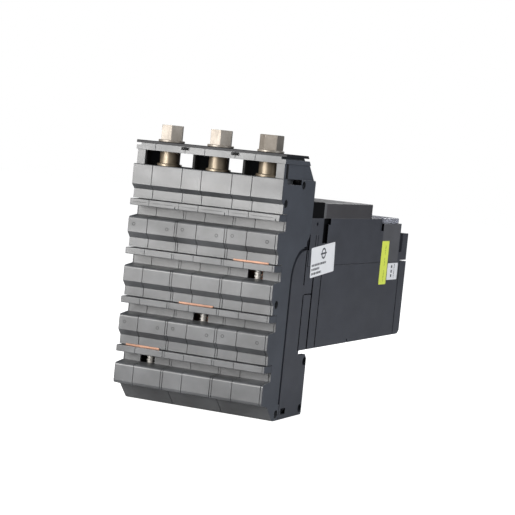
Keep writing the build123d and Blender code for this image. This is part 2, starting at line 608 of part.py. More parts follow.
def cap_end_shield():
    """Black insulating shield in front of the raised cover, with vent slots on top."""
    shield = block(-104.5, 104.5, 105.5, CAP_LINE - 0.2, CASE_FRONT, CAP_TOP + 0.8)
    shield = chamfer(shield.edges().filter_by(Axis.X).sort_by(Axis.Z)[-2:], 1.0)
    for index in range(9):
        x = -88 + index * 22
        shield -= block(x - 7, x + 7, 113, 138, CAP_TOP - 6, CAP_TOP + 2)
    return shield


def cover_screws():
    """Socket screws of the raised cover and of the load-end covers."""
    screws = []
    for x in (-92, 92):
        for y in (168, 312):
            head = post(4.2, x, y, CAP_TOP - 2.2, CAP_TOP - 0.2)
            socket = Pos(x, y, CAP_TOP - 1.6) * extrude(RegularPolygon(2.0, 6), amount=3)
            screws.append(head - socket)
    for x in (-HALF_POLE, HALF_POLE):
        for z in (104, 180, 216):
            head = bar_y(4.2, x, LOAD_END - 2.2, LOAD_END - 0.2, z)
            slot = block(x - 3, x + 3, LOAD_END - 1.4, LOAD_END + 1, z - 0.6, z + 0.6)
            screws.append(head - slot)
    return Compound(children=screws)


def trip_unit():
    """Electronic trip unit, with the raised face that carries the dials."""
    unit = block(-70, 70, 336, 446, 205, TRIP_FRONT - 5)
    unit += block(-66, 66, 382, 442, TRIP_FRONT - 5, TRIP_FRONT)
    for x in DIAL_X:
        unit -= post(DIAL_STEM_R + RUNNING, x, DIAL_Y, TRIP_FRONT - 8, TRIP_FRONT + 1)
    unit -= block(-52, -16, 392, 430, TRIP_FRONT - 1, TRIP_FRONT + 1)
    return unit


def trip_dial(x):
    """Rotary adjuster with a screwdriver slot and an arrow flat."""
    dial = post(DIAL_R, x, DIAL_Y, TRIP_FRONT + 0.2, TRIP_FRONT + 3.2)
    dial = chamfer(dial.edges().sort_by(Axis.Z)[-1], 0.6)
    dial -= block(x - 0.8, x + 0.8, DIAL_Y - 5, DIAL_Y + 5, TRIP_FRONT + 1.8, TRIP_FRONT + 5)
    return dial + post(DIAL_STEM_R, x, DIAL_Y, TRIP_FRONT - 7, TRIP_FRONT + 0.3)


def clear_cover():
    """Hinged transparent lid over the trip unit's dials."""
    lid = block(-68, 104, 378.6, 441.5, TRIP_FRONT + 0.2, CASE_FRONT + 1)
    lid = fillet(lid.edges().filter_by(Axis.Y).sort_by(Axis.Z)[-2:], 1.5)
    lid -= block(-66, 102, 380.6, 439.5, TRIP_FRONT - 1, CASE_FRONT - 1)
    lid += bar_x(2.6, -66, 102, LID_Y, LID_Z) + block(-66, 102, 441, LID_Y, LID_Z - 1.8, LID_Z + 1.8)
    for x in LID_EARS:
        lid -= block(x - 4, x + 4, 441.6, 448, TRIP_FRONT, 258)
    return lid - bar_x(LID_PIN_R + RUNNING, -70, 110, LID_Y, LID_Z)


def lid_hinge_pin():
    """Pin that the lid turns on."""
    return bar_x(LID_PIN_R, -66, 102, LID_Y, LID_Z)


def trip_button():
    """Push-to-trip button with its retaining flange."""
    button = post(5, -50, 300, CAP_TOP - 12, CAP_TOP + 2.6)
    button = chamfer(button.edges().sort_by(Axis.Z)[-1], 0.7)
    return button + post(8, -50, 300, CAP_TOP - 14, CAP_TOP - 3.4)


def side_panels():
    """Lighter panels let into the sides of the cover beside the trip unit."""
    return both_sides(block(103.4, HALF_WIDTH, 378.5, 450, CASE_SEAM + 0.5, 250.5))


def load_cover_upper():
    """Upper half of the load-end terminal cover, with screwdriver holes over the lugs."""
    cover = block(-104.5, 104.5, COVER_LOAD, LOAD_END, CASE_SEAM + 2, 236.5)
    cover += block(-104.5, 104.5, COVER_LOAD, CASE_LOAD, CASE_SEAM, CASE_SEAM + 2)
    cover = fillet(x_edges(cover, LOAD_END, 236.5), 1.5)
    cover -= both_sides(block(98, HALF_WIDTH, COVER_LOAD - 1, 466, 208.6, 240))
    for pole_x in POLE_CENTRES:
        cover -= post(8, pole_x, sum(LUG_Y) / 2, 190, 240)
    for x in (-HALF_POLE, HALF_POLE):
        cover -= bar_y(4.6, x, LOAD_END - 2.2, LOAD_END + 1, 216)
    return cover


def load_cover_lower():
    """Lower half of the load-end terminal cover, with a cable hole for each pole."""
    outline = [(CASE_LOAD, CASE_BACK), (482, CASE_BACK), (LOAD_END, 91), (LOAD_END, CASE_SEAM)]
    outline += [(CASE_LOAD, CASE_SEAM)]
    cover = slab(outline, -HALF_WIDTH, HALF_WIDTH)
    for pole_x in POLE_CENTRES:
        cover -= block(pole_x - 27, pole_x + 27, 461, LUG_Y[1], 96, CASE_SEAM + 1)
        cover -= bar_y(12, pole_x, 480, LOAD_END + 1, LUG_Z)
    for x in (-HALF_POLE, HALF_POLE):
        for z in (104, 180):
            cover -= bar_y(4.6, x, LOAD_END - 2.2, LOAD_END + 1, z)
    return cover


def side_labels():
    """Thin labels on the right side of the case."""
    tilt = 5.4
    plate = Plane.YZ.offset(HALF_WIDTH) * Pos(155.3, 203.3) * Rot(Z=tilt) * Rectangle(81, 39.5)
    strip = Plane.YZ.offset(HALF_WIDTH) * Pos(393, 194.5) * Rectangle(29.5, 63)
    small = Plane.YZ.offset(HALF_WIDTH) * Pos(432, 181) * Rectangle(43.5, 24.5)
    return Compound(children=[extrude(face, amount=0.25) for face in (plate, strip, small)])


# ---------------------------------------------------------------- inside the case
def load_conductors():
    """Copper bars from the contact arms' cheeks to the load lugs."""
    bars = []
    for pole_x in POLE_CENTRES:
        bar = block(pole_x - BAR_HALF, pole_x + BAR_HALF, 262, 484, BAR_LOW, BAR_HIGH)
        for side in (-1, 1):
            x0, x1 = sorted((pole_x + side * 13, pole_x + side * 18))
            bar += block(x0, x1, 262, 290, BAR_HIGH, CROSSBAR_Z - CROSSBAR_R - 1)
        bars.append(bar)
    return Compound(children=bars)


def crossbar():
    """Insulating bar that carries the three contact arms."""
    return bar_x(CROSSBAR_R, -98, 98, CROSSBAR_Y, CROSSBAR_Z)


def contact_arms():
    """Copper contact arms with their tips, drawn closed and turned open."""
    arms = []
    for pole_x in POLE_CENTRES:
        outline = [(268, 163), (200, 142), (188, 134), (188, 121.3), (200, 121.3), (206, 128), (268, 137)]
        arm = slab(outline, pole_x - 11, pole_x + 11)
        arm += bar_x(14, pole_x - 12, pole_x + 12, CROSSBAR_Y, CROSSBAR_Z)
        arm -= bar_x(CROSSBAR_R, pole_x - 20, pole_x + 20, CROSSBAR_Y, CROSSBAR_Z)
        arms.append(turned(arm, -OPEN_ANGLE, CROSSBAR_Y, CROSSBAR_Z))
    return Compound(children=arms)


def arc_plates():
    """Stacks of slotted steel plates that split the arc."""
    plates = []
    for pole_x in POLE_CENTRES:
        for index in range(9):
            z = 124 + 7 * index
            plate = block(pole_x - 24, pole_x + 24, 122, 180, z, z + 1.5)
            plates.append(plate - block(pole_x - 8, pole_x + 8, 158, 181, z - 1, z + 3))
    return Compound(children=plates)


def arc_frames():
    """Fibre side plates that hold the arc plates."""
    frames = []
    for pole_x in POLE_CENTRES:
        for side in (-1, 1):
            x0, x1 = sorted((pole_x + side * 24, pole_x + side * 26))
            frames.append(block(x0, x1, 120, 180, BAR_HIGH + 2, 188))
    return Compound(children=frames)


def current_transformers():
    """Sensor blocks around the load conductors."""
    rings = []
    for pole_x in POLE_CENTRES:
        ring = block(pole_x - 27, pole_x + 27, 372, 402, 98, 150)
        ring = fillet(ring.edges().filter_by(Axis.Y), 4)
        x0, x1 = pole_x - BAR_HALF - 0.5, pole_x + BAR_HALF + 0.5
        rings.append(ring - block(x0, x1, 370, 405, BAR_LOW - 0.5, BAR_HIGH + 0.5))
    return Compound(children=rings)


def mechanism_frame():
    """Steel side plates of the operating mechanism, standing on the base floor."""
    outline = [(214, 92), (224, 92), (224, 168), (284, 168), (284, 92), (294, 92), (294, 236), (214, 236)]
    plate = slab(outline, 22, 25) - bar_x(PIN_R, 20, 30, HANDLE_Y, HANDLE_Z)
    tie = block(-22, 22, 286, 292, 222, 232)
    return both_sides(plate) + tie


def handle_pin():
    """Pivot pin of the handle yoke."""
    return bar_x(PIN_R, -25, 25, HANDLE_Y, HANDLE_Z)


def handle_yoke():
    """Steel yoke that turns on the pivot pin and carries the handle."""
    arm = block(15, 18, HANDLE_Y - 8, HANDLE_Y + 8, HANDLE_Z, 249)
    arm += bar_x(9, 15, 18, HANDLE_Y, HANDLE_Z)
    yoke = both_sides(arm) + block(-18, 18, HANDLE_Y - 8, HANDLE_Y + 8, 246, 249)
    yoke -= bar_x(PIN_R + RUNNING, -20, 20, HANDLE_Y, HANDLE_Z)
    return turned(yoke, -HANDLE_TILT, HANDLE_Y, HANDLE_Z)


def toggle_handle():
    """Moulded toggle handle, tapered, with grip grooves."""
    outline = [(HANDLE_Y - 7.5, 249), (HANDLE_Y + 7.5, 249)]
    outline += [(HANDLE_Y + 6, HANDLE_TOP), (HANDLE_Y - 6, HANDLE_TOP)]
    handle = slab(outline, -11, 11)
    handle = fillet(handle.faces().sort_by(Axis.Z)[-1].edges(), 2)
    for index in range(5):
        z = 288 + 4 * index
        for y0, y1 in ((HANDLE_Y - 9, HANDLE_Y - 5.9), (HANDLE_Y + 5.9, HANDLE_Y + 9)):
            handle -= block(-8, 8, y0, y1, z, z + 1.6)
    return turned(handle, -HANDLE_TILT, HANDLE_Y, HANDLE_Z)


def load_lugs():
    """Cable lugs on the load conductors."""
    lugs = []
    for pole_x in POLE_CENTRES:
        lug = block(pole_x - 21, pole_x + 21, LUG_Y[0], LUG_Y[1] - 0.5, BAR_HIGH, LUG_Z + 19)
        lug = fillet(lug.edges().filter_by(Axis.Y).sort_by(Axis.Z)[-2:], 4)
        lug -= bar_y(LUG_BORE_R, pole_x, 460, 490, LUG_Z)
        lugs.append(lug - post(6.1, pole_x, sum(LUG_Y) / 2, LUG_Z, 160))
    return Compound(children=lugs)


def lug_screws():
    """Socket set screws of the lugs."""
    screws = []
    y = sum(LUG_Y) / 2
    for pole_x in POLE_CENTRES:
        screw = post(6, pole_x, y, LUG_Z + LUG_BORE_R + 0.5, LUG_Z + 30)
        screw = chamfer(screw.edges().sort_by(Axis.Z)[-1], 0.8)
        screws.append(screw - Pos(pole_x, y, LUG_Z + 24) * extrude(RegularPolygon(3.4, 6), amount=8))
    return Compound(children=screws)


# ---------------------------------------------------------------- all the pieces
def all_pieces():
    """Every node of the breaker, by name."""
    pieces = {}
    for name, (pole_x, level) in POLES.items():
        pieces[f"{name}_pole_shell_left"] = half_shell(pole_x, level, "left")
        pieces[f"{name}_pole_shell_right"] = half_shell(pole_x, level, "right")
        pieces[f"{name}_clamp_bolt"] = clamp_bolt(pole_x, level, HEX_TURN[name])
        pieces[f"{name}_jaw_comb"] = jaw_comb(pole_x, level)
        pieces[f"{name}_jaw_nut"] = jaw_nut(pole_x, level)
        pieces[f"{name}_jaw_pad"] = jaw_pad(pole_x, level)
        pieces[f"{name}_line_conductor"] = line_conductor(pole_x, level)
    pieces["left_pole_barrier"] = barrier(POLES["left"][0])
    pieces["centre_pole_barrier"] = barrier(POLES["centre"][0])
    pieces["block_side_cover"] = barrier(POLES["right"][0])
    functions = (block_feet, top_frame, top_cover, frame_clips, tie_rods, bolt_washers, bolt_collars,
                 line_adapter, mounting_ears, case_base, case_cover, front_cap, cap_end_shield,
                 cover_screws, trip_unit, clear_cover, lid_hinge_pin, trip_button, side_panels,
                 load_cover_upper, load_cover_lower, side_labels, crossbar, contact_arms, arc_plates,
                 arc_frames, load_conductors, current_transformers, mechanism_frame, handle_pin,
                 handle_yoke, toggle_handle, load_lugs, lug_screws)
    for function in functions:
        pieces[function.__name__] = function()
    pieces["trip_dial_left"] = trip_dial(DIAL_X[0])
    pieces["trip_dial_right"] = trip_dial(DIAL_X[1])
    return pieces


os.makedirs("parts", exist_ok=True)
for node, shape in all_pieces().items():
    export_step(Pos(-ORIGIN[0], -ORIGIN[1], -ORIGIN[2]) * shape, f"parts/{node}.step")
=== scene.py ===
import math
import random

import bmesh
import bpy
from mathutils import Matrix, Vector


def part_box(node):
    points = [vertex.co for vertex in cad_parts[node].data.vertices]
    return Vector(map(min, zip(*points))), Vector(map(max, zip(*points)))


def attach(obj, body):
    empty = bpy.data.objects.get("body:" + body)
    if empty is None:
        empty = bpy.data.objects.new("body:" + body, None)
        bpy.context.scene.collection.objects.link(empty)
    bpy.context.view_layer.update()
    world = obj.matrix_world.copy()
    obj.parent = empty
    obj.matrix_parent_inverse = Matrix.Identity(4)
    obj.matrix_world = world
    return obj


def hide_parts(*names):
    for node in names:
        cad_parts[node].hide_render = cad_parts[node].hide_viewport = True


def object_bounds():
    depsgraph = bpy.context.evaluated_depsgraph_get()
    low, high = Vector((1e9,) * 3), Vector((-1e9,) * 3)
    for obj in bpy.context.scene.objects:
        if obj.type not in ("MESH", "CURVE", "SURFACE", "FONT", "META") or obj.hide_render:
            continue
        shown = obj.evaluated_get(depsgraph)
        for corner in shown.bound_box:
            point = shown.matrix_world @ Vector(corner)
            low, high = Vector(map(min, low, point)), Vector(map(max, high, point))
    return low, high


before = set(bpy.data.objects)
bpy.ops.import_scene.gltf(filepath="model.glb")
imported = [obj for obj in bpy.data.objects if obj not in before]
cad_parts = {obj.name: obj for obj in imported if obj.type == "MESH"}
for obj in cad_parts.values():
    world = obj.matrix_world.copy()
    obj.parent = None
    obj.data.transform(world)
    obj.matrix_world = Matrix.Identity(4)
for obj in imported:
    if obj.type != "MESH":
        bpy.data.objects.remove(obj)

# A three-pole plug-on power circuit breaker: looks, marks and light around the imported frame.
# The design's own millimetres start at the line-end plane of the block and at its lowest edge.
CAD_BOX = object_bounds()
DATUM = Vector((0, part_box("left_pole_barrier")[0].y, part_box("block_feet")[0].z))
MM = 0.001

POLES = ("left", "centre", "right")
POLE_CENTRES = (-70, 0, 70)
LEVEL_PITCH = 63.1            # between the block's rows, one for each bus bar
SIDE_X = 105.0                # right face of the case
CAP_TOP = 278.0               # top of the raised front cap
TRIP_FACE = 251.0             # face of the trip unit, under the lid
WINDOW_FLOOR = 306.3          # of the window that shows the bolts' sleeves
SUNK = 0.02                   # how deep the marks on a top face start below it

# Where faces of a node get a second material, near black as painted shade in the ear recess, the side grooves
# and the block's slot: the lowest and highest |x|, y and z of their centres.
EVERYWHERE = (-1000, 1000)
EAR_RECESS = ((101, SIDE_X - 0.1), (146, 172), (224, 1000))
SIDE_GROOVES = ((102, SIDE_X - 0.3), EVERYWHERE, EVERYWHERE)
BLOCK_SLOT = ((88, SIDE_X), (50, 62), (295, 1000))

MARK_ROWS = (1, 3)            # rows of the block with mould marks, and the first row's height
MARK_HEIGHT = 229
MARK_PLACES = ((-27, 0.0), (21, 2.0))    # from a pole's centre, and how much lower
MARK_RADIUS = 2.3
HANDLE_MARKS_X = 24
ON_MARK_Y = 216
OFF_MARK_Y = 264
DIAL_PLACES = ((12, 412), (44, 412))
DIAL_STEPS = 11
DIAL_START = 225              # degrees, then DIAL_STEP degrees back for each step
DIAL_STEP = 27
DISPLAY_PLACE = (-28, 412)
LAMP_PLACE = (-41, 427)
LAMP_PITCH = 8

FLOOR_GLOW = 0.96
EYE = (934.37, -1921.32, 341.33)
LENS = 118.92


def spot(x, y, z):
    """A place in the design's millimetres, as metres in the frame."""
    return DATUM + Vector((x, y, z)) * MM


# ---------------------------------------------------------------- materials
class Shader:
    """One Principled material, with short names for the nodes that it needs."""

    def __init__(self, name, colour, roughness, **sockets):
        self.material = bpy.data.materials.new(name)
        self.material.use_nodes = True
        self.material.diffuse_color = (*colour, 1)
        self.nodes = self.material.node_tree.nodes
        self.links = self.material.node_tree.links
        self.principled = self.nodes["Principled BSDF"]
        self.principled.inputs["Base Color"].default_value = (*colour, 1)
        self.principled.inputs["Roughness"].default_value = roughness
        for socket, value in sockets.items():
            self.principled.inputs[socket.replace("_", " ")].default_value = value
        self.place = self.nodes.new("ShaderNodeTexCoord").outputs["Object"]
        self.normal = None

    def stretched(self, x, y, z):
        """Object coordinates, scaled along each axis."""
        node = self.nodes.new("ShaderNodeMapping")
        node.inputs["Scale"].default_value = (x, y, z)
        self.links.new(self.place, node.inputs["Vector"])
        return node.outputs["Vector"]

    def noise(self, scale, detail=3.0, roughness=0.55, vector=None):
        node = self.nodes.new("ShaderNodeTexNoise")
        node.inputs["Scale"].default_value = scale
        node.inputs["Detail"].default_value = detail
        node.inputs["Roughness"].default_value = roughness
        self.links.new(vector or self.place, node.inputs["Vector"])
        return node.outputs["Fac"]

    def ramp(self, factor, low, high, start=0.3, end=0.7):
        """A colour between two colours, as the factor goes from start to end."""
        node = self.nodes.new("ShaderNodeValToRGB")
        node.color_ramp.elements[0].position = start
        node.color_ramp.elements[0].color = (*low, 1)
        node.color_ramp.elements[1].position = end
        node.color_ramp.elements[1].color = (*high, 1)
        self.links.new(factor, node.inputs["Fac"])
        return node.outputs["Color"]

    def between(self, factor, low, high, start=0.3, end=0.7):
        """A number between two numbers, as the factor goes from start to end."""
        node = self.nodes.new("ShaderNodeMapRange")
        for socket, value in (("From Min", start), ("From Max", end), ("To Min", low), ("To Max", high)):
            node.inputs[socket].default_value = value
        self.links.new(factor, node.inputs["Value"])
        return node.outputs["Result"]

    def soft_edges(self, radius):
        """Catches light along edges, as a moulded or tumbled edge does."""
        node = self.nodes.new("ShaderNodeBevel")
        node.samples = 4
        node.inputs["Radius"].default_value = radius
        self.normal = node.outputs["Normal"]

    def bump(self, height, strength, distance):
        node = self.nodes.new("ShaderNodeBump")
        node.inputs["Strength"].default_value = strength
        node.inputs["Distance"].default_value = distance
        self.links.new(height, node.inputs["Height"])
        if self.normal:
            self.links.new(self.normal, node.inputs["Normal"])
        self.normal = node.outputs["Normal"]

    def feed(self, socket, output):
        self.links.new(output, self.principled.inputs[socket])

    def done(self):
        if self.normal:
            self.feed("Normal", self.normal)
        return self.material


def moulded(name, colour, roughness, cloud=0.25, grain=0.25, rough_span=0.08, edge=0.0004, gloss=0.5):
    """Moulded thermoset: cloudy colour and gloss, a fine grain and soft edges."""
    shader = Shader(name, colour, roughness, Specular_IOR_Level=gloss)
    clouds = shader.noise(26, detail=4)
    streaks = shader.noise(9, detail=2, vector=shader.stretched(1, 1, 3))
    dark = tuple(c * (1 - cloud) for c in colour)
    light = tuple(c * (1 + cloud) for c in colour)
    shader.feed("Base Color", shader.ramp(clouds, dark, light))
    shader.feed("Roughness", shader.between(streaks, roughness - rough_span, roughness + rough_span))
    shader.soft_edges(edge)
    shader.bump(shader.noise(2600, detail=2), grain, 0.00006)
    return shader.done()


def plated(name, colour, roughness, tint=None, brushed=(1, 1, 1), edge=0.0003, metal=1.0):
    """Plated or bare metal: faint stains in its colour, and fine tool marks."""
    shader = Shader(name, colour, roughness, Metallic=metal)
    stains = shader.noise(60, detail=5, roughness=0.65)
    other = tint or tuple(c * 0.8 for c in colour)
    shader.feed("Base Color", shader.ramp(stains, other, colour, 0.35, 0.6))
    marks = shader.noise(500, detail=3, vector=shader.stretched(*brushed))
    shader.feed("Roughness", shader.between(marks, roughness - 0.08, roughness + 0.1))
    shader.soft_edges(edge)
    shader.bump(marks, 0.15, 0.00004)
    return shader.done()


def printed(name, colour):
    """Label stock: nearly even, with a faint film gloss."""
    shader = Shader(name, colour, 0.42, Specular_IOR_Level=0.4)
    soft = shader.noise(40)
    shader.feed("Base Color", shader.ramp(soft, tuple(c * 0.95 for c in colour), colour))
    shader.bump(shader.noise(1800), 0.08, 0.00003)
    return shader.done()


def smoked_lid():
    shader = Shader("smoked_lid", (0.74, 0.74, 0.80), 0.16, Transmission_Weight=0.7, IOR=1.49)
    shader.feed("Roughness", shader.between(shader.noise(70), 0.12, 0.22))
    shader.soft_edges(0.0004)
    return shader.done()


def fibre_board():
    shader = Shader("fibre_board", (0.42, 0.31, 0.19), 0.75)
    fibres = shader.noise(420, detail=5, vector=shader.stretched(1, 0.15, 1))
    shader.feed("Base Color", shader.ramp(fibres, (0.30, 0.21, 0.12), (0.50, 0.38, 0.24)))
    shader.bump(fibres, 0.3, 0.0001)
    return shader.done()


def copper_bar():
    shader = Shader("copper_bar", (0.28, 0.15, 0.10), 0.48, Metallic=0.4)
    tarnish = shader.ramp(shader.noise(45, detail=5), (0.19, 0.095, 0.06), (0.30, 0.16, 0.105), 0.3, 0.55)
    shader.feed("Base Color", tarnish)
    shader.feed("Roughness", shader.between(shader.noise(160), 0.40, 0.56))
    shader.soft_edges(0.0002)
    return shader.done()


MATERIALS = {
    "row_grey": moulded("row_grey", (0.060, 0.062, 0.066), 0.37, cloud=0.26, rough_span=0.09),
    # block_side is row_grey again, darker, bluer and less glossy: painted shade for the mouldings' sideways
    # faces.
    "block_side": moulded("block_side", (0.050, 0.055, 0.067), 0.50, cloud=0.12, rough_span=0.05),
    "case_black": moulded("case_black", (0.045, 0.047, 0.057), 0.50, cloud=0.12, rough_span=0.05),
    "cap_grey": moulded("cap_grey", (0.054, 0.050, 0.052), 0.46, cloud=0.10, rough_span=0.05),
    # Near black: the end shield's and the clips' own colour, and also painted shade in the ear recess, the
    # side grooves and the block's slot.
    "shield_black_and_painted_shade": moulded("shield_black_and_painted_shade", (0.0022, 0.0022, 0.0026), 0.42, cloud=0.2, rough_span=0.05,
                            gloss=0.05),
    # A lighter copy of cap_grey: painted sheen for the cap's rounded corner.
    "cap_corner_painted_sheen": moulded("cap_corner_painted_sheen", (0.105, 0.102, 0.104), 0.42, cloud=0.10, rough_span=0.05),
    "panel_grey": moulded("panel_grey", (0.098, 0.096, 0.102), 0.47, cloud=0.10, rough_span=0.05),
    # Near black: the top cover's own colour, and also painted shade on the window floors.
    "top_black_and_painted_shade": moulded("top_black_and_painted_shade", (0.010, 0.010, 0.012), 0.40, cloud=0.2, rough_span=0.06, gloss=0.15),
    # Near black and nearly without gloss: painted shade for the pole shell's walls inside the window, which
    # is row_grey elsewhere.
    "guide_painted_shade": moulded("guide_painted_shade", (0.003, 0.003, 0.003), 0.30, cloud=0.2, rough_span=0.04,
                           gloss=0.06),
    "mark_grey": moulded("mark_grey", (0.034, 0.035, 0.037), 0.45, cloud=0.1, gloss=0.3),
    "display_glass": moulded("display_glass", (0.02, 0.03, 0.028), 0.08, cloud=0.1, grain=0.0,
                             rough_span=0.02),
    "lamp_green": moulded("lamp_green", (0.05, 0.35, 0.08), 0.2, cloud=0.05, grain=0.0, edge=0.0002),
    "resin_grey": moulded("resin_grey", (0.16, 0.17, 0.18), 0.6),
    "handle_black": moulded("handle_black", (0.016, 0.016, 0.017), 0.42, grain=0.5, edge=0.0006),
    "button_red": moulded("button_red", (0.48, 0.028, 0.02), 0.35, cloud=0.1, edge=0.0005),
    "dial_white": moulded("dial_white", (0.62, 0.62, 0.58), 0.45, cloud=0.08),
    "zinc": plated("zinc", (0.25, 0.222, 0.192), 0.44, tint=(0.20, 0.175, 0.148), brushed=(1, 1, 0.2),
                   metal=0.45),
    # A brighter copy of zinc: painted light on the bolts' threads, which show in the jaw gaps.
    "zinc_painted_light": plated("zinc_painted_light", (0.55, 0.53, 0.50), 0.42, brushed=(1, 1, 0.2), metal=0.3),
    "passivated": plated("passivated", (0.20, 0.165, 0.12), 0.38, tint=(0.15, 0.12, 0.085),
                         brushed=(1, 1, 0.1), metal=0.55),
    "dark_steel": plated("dark_steel", (0.16, 0.16, 0.17), 0.38),
    "copper_bar": copper_bar(),
    "fibre_board": fibre_board(),
    "smoked_lid": smoked_lid(),
    "label_white": printed("label_white", (0.96, 0.94, 0.94)),
    "label_lime": printed("label_lime", (0.90, 0.98, 0.12)),
    "print_grey": printed("print_grey", (0.06, 0.06, 0.065)),
    "print_lime": printed("print_lime", (0.30, 0.40, 0.05)),
    "print_white": printed("print_white", (0.72, 0.72, 0.70)),
}



def each_pole(*parts):
    """Names of the nodes that every pole has."""
    return [f"{pole}_{part}" for part in parts for pole in POLES]


NODE_MATERIALS = {
    "row_grey": ["block_feet", "top_frame", "left_pole_barrier", "centre_pole_barrier", "block_side_cover"]
                + each_pole("pole_shell_left", "pole_shell_right", "jaw_comb"),
    "case_black": ["line_adapter", "mounting_ears", "case_base", "case_cover", "load_cover_upper",
                   "load_cover_lower"],
    "cap_grey": ["front_cap"],
    "shield_black_and_painted_shade": ["cap_end_shield", "frame_clips"],
    "panel_grey": ["side_panels", "trip_unit"],
    "top_black_and_painted_shade": ["top_cover"],
    "handle_black": ["toggle_handle"],
    "button_red": ["trip_button"],
    "dial_white": ["trip_dial_left", "trip_dial_right"],
    "zinc": ["bolt_washers", "handle_yoke", "mechanism_frame", "load_lugs"]
            + each_pole("clamp_bolt", "jaw_nut"),
    "passivated": ["bolt_collars"],
    "dark_steel": ["tie_rods", "cover_screws", "handle_pin", "lug_screws", "arc_plates", "lid_hinge_pin"],
    "copper_bar": ["load_conductors", "contact_arms"] + each_pole("jaw_pad", "line_conductor"),
    "fibre_board": ["arc_frames"],
    "resin_grey": ["crossbar", "current_transformers"],
    "smoked_lid": ["clear_cover"],
}


def dress(node, material):
    """Gives a CAD node its material."""
    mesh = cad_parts[node].data
    mesh.materials.clear()
    mesh.materials.append(material)


def dress_faces(node, material, chosen):
    """Gives another material to the faces that are chosen by their centre and normal."""
    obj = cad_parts[node]
    obj.data.materials.append(material)
    for face in obj.data.polygons:
        centre = (obj.matrix_world @ face.center - DATUM) / MM
        if chosen(centre, face.normal):
            face.material_index = len(obj.data.materials) - 1


def within(centre, zone):
    return all(low < value < high for value, (low, high) in zip((abs(centre.x), centre.y, centre.z), zone))


def on_side(centre, normal):
    return abs(normal.x) > 0.9 and abs(centre.x) > SIDE_X - 4


def on_guide(centre, normal):
    return WINDOW_FLOOR + 0.3 < centre.z and abs(normal.z) < 0.5


def on_round_corner(_centre, normal):
    return normal.x > 0.15 and normal.y < -0.15


def on_window_floor(centre, normal):
    return abs(centre.z - WINDOW_FLOOR) < 0.3 and normal.z > 0.9


def in_ear_recess(centre, _normal):
    return within(centre, EAR_RECESS)


def in_side_groove(centre, normal):
    return within(centre, SIDE_GROOVES) and abs(normal.z) < 0.9


def in_block_slot(centre, normal):
    return within(centre, BLOCK_SLOT) and normal.y < -0.9


def on_thread(centre, _normal):
    return centre.z < WINDOW_FLOOR


for name, nodes in NODE_MATERIALS.items():
    for node in nodes:
        dress(node, MATERIALS[name])
# Sideways faces of the row mouldings get block_side: painted shade, darker than their fronts.
for node in NODE_MATERIALS["row_grey"]:
    dress_faces(node, MATERIALS["block_side"], on_side)
# The cap's rounded corner between front and right side gets painted sheen, lighter than the rest of the cap.
dress_faces("front_cap", MATERIALS["cap_corner_painted_sheen"], on_round_corner)
# The ear recess in the cover's side: painted shade, near black.
dress_faces("case_cover", MATERIALS["shield_black_and_painted_shade"], in_ear_recess)
# The walls of the grooves in the case's side: painted shade, near black.
for node in ("line_adapter", "case_base", "case_cover"):
    dress_faces(node, MATERIALS["shield_black_and_painted_shade"], in_side_groove)
# Forward-facing faces in the slot between block and adapter: painted shade, near black.
for node in ("right_pole_shell_right", "block_side_cover"):
    dress_faces(node, MATERIALS["shield_black_and_painted_shade"], in_block_slot)
for pole in POLES:
    # The bolt's thread below the window: painted light, brighter than the zinc of its head.
    dress_faces(f"{pole}_clamp_bolt", MATERIALS["zinc_painted_light"], on_thread)
    # The pole shell's walls inside the window: painted shade, near black.
    dress_faces(f"{pole}_pole_shell_left", MATERIALS["guide_painted_shade"], on_guide)
    # The window floors in both pole shells: painted shade, near black.
    for side in ("left", "right"):
        dress_faces(f"{pole}_pole_shell_{side}", MATERIALS["top_black_and_painted_shade"], on_window_floor)


# ---------------------------------------------------------------- mesh helpers
def piece(name, mesh, material, body="breaker"):
    """A new piece that rides on a body."""
    obj = bpy.data.objects.new(name, mesh)
    bpy.context.scene.collection.objects.link(obj)
    obj.data.materials.append(MATERIALS[material])
    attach(obj, body)
    return obj


def outlined(bm, points, thickness, place):
    """Adds a thin plate with the outline points, placed by a matrix, to a bmesh."""
    low = [bm.verts.new(place @ Vector((x, y, 0))) for x, y in points]
    high = [bm.verts.new(place @ Vector((x, y, thickness))) for x, y in points]
    bm.faces.new(list(reversed(low)))
    bm.faces.new(high)
    for index in range(len(points)):
        following = (index + 1) % len(points)
        bm.faces.new((low[index], low[following], high[following], high[index]))


def rounded(width, height, radius, steps=5):
    """Outline of a rectangle with rounded corners."""
    points = []
    corners = ((1, 1, 0), (-1, 1, 90), (-1, -1, 180), (1, -1, 270))
    for side_x, side_y, start in corners:
        for step in range(steps + 1):
            angle = math.radians(start + 90 * step / steps)
            points.append((side_x * (width / 2 - radius) + radius * math.cos(angle),
                           side_y * (height / 2 - radius) + radius * math.sin(angle)))
    return points


def circle(radius, flat=1.0, steps=32):
    """Outline of a circle, or of an ellipse when flat isn't 1."""
    angles = [math.tau * step / steps for step in range(steps)]
    return [(radius * math.cos(a), flat * radius * math.sin(a)) for a in angles]


def bm_ring(bm, outer, share, height, place):
    """Adds a raised ring, whose inner edge is a share of the outer outline, to a bmesh."""
    rows = []
    for scale, z in ((1, 0), (1, height), (share, height), (share, 0)):
        rows.append([bm.verts.new(place @ Vector((x * scale, y * scale, z))) for x, y in outer])
    count = len(outer)
    for first, second in zip(rows, rows[1:] + rows[:1]):
        for index in range(count):
            following = (index + 1) % count
            bm.faces.new((first[index], first[following], second[following], second[index]))


def finished(bm, name):
    """The bmesh as a mesh, with its faces turned outward."""
    bmesh.ops.recalc_face_normals(bm, faces=bm.faces)
    mesh = bpy.data.meshes.new(name)
    bm.to_mesh(mesh)
    bm.free()
    return mesh


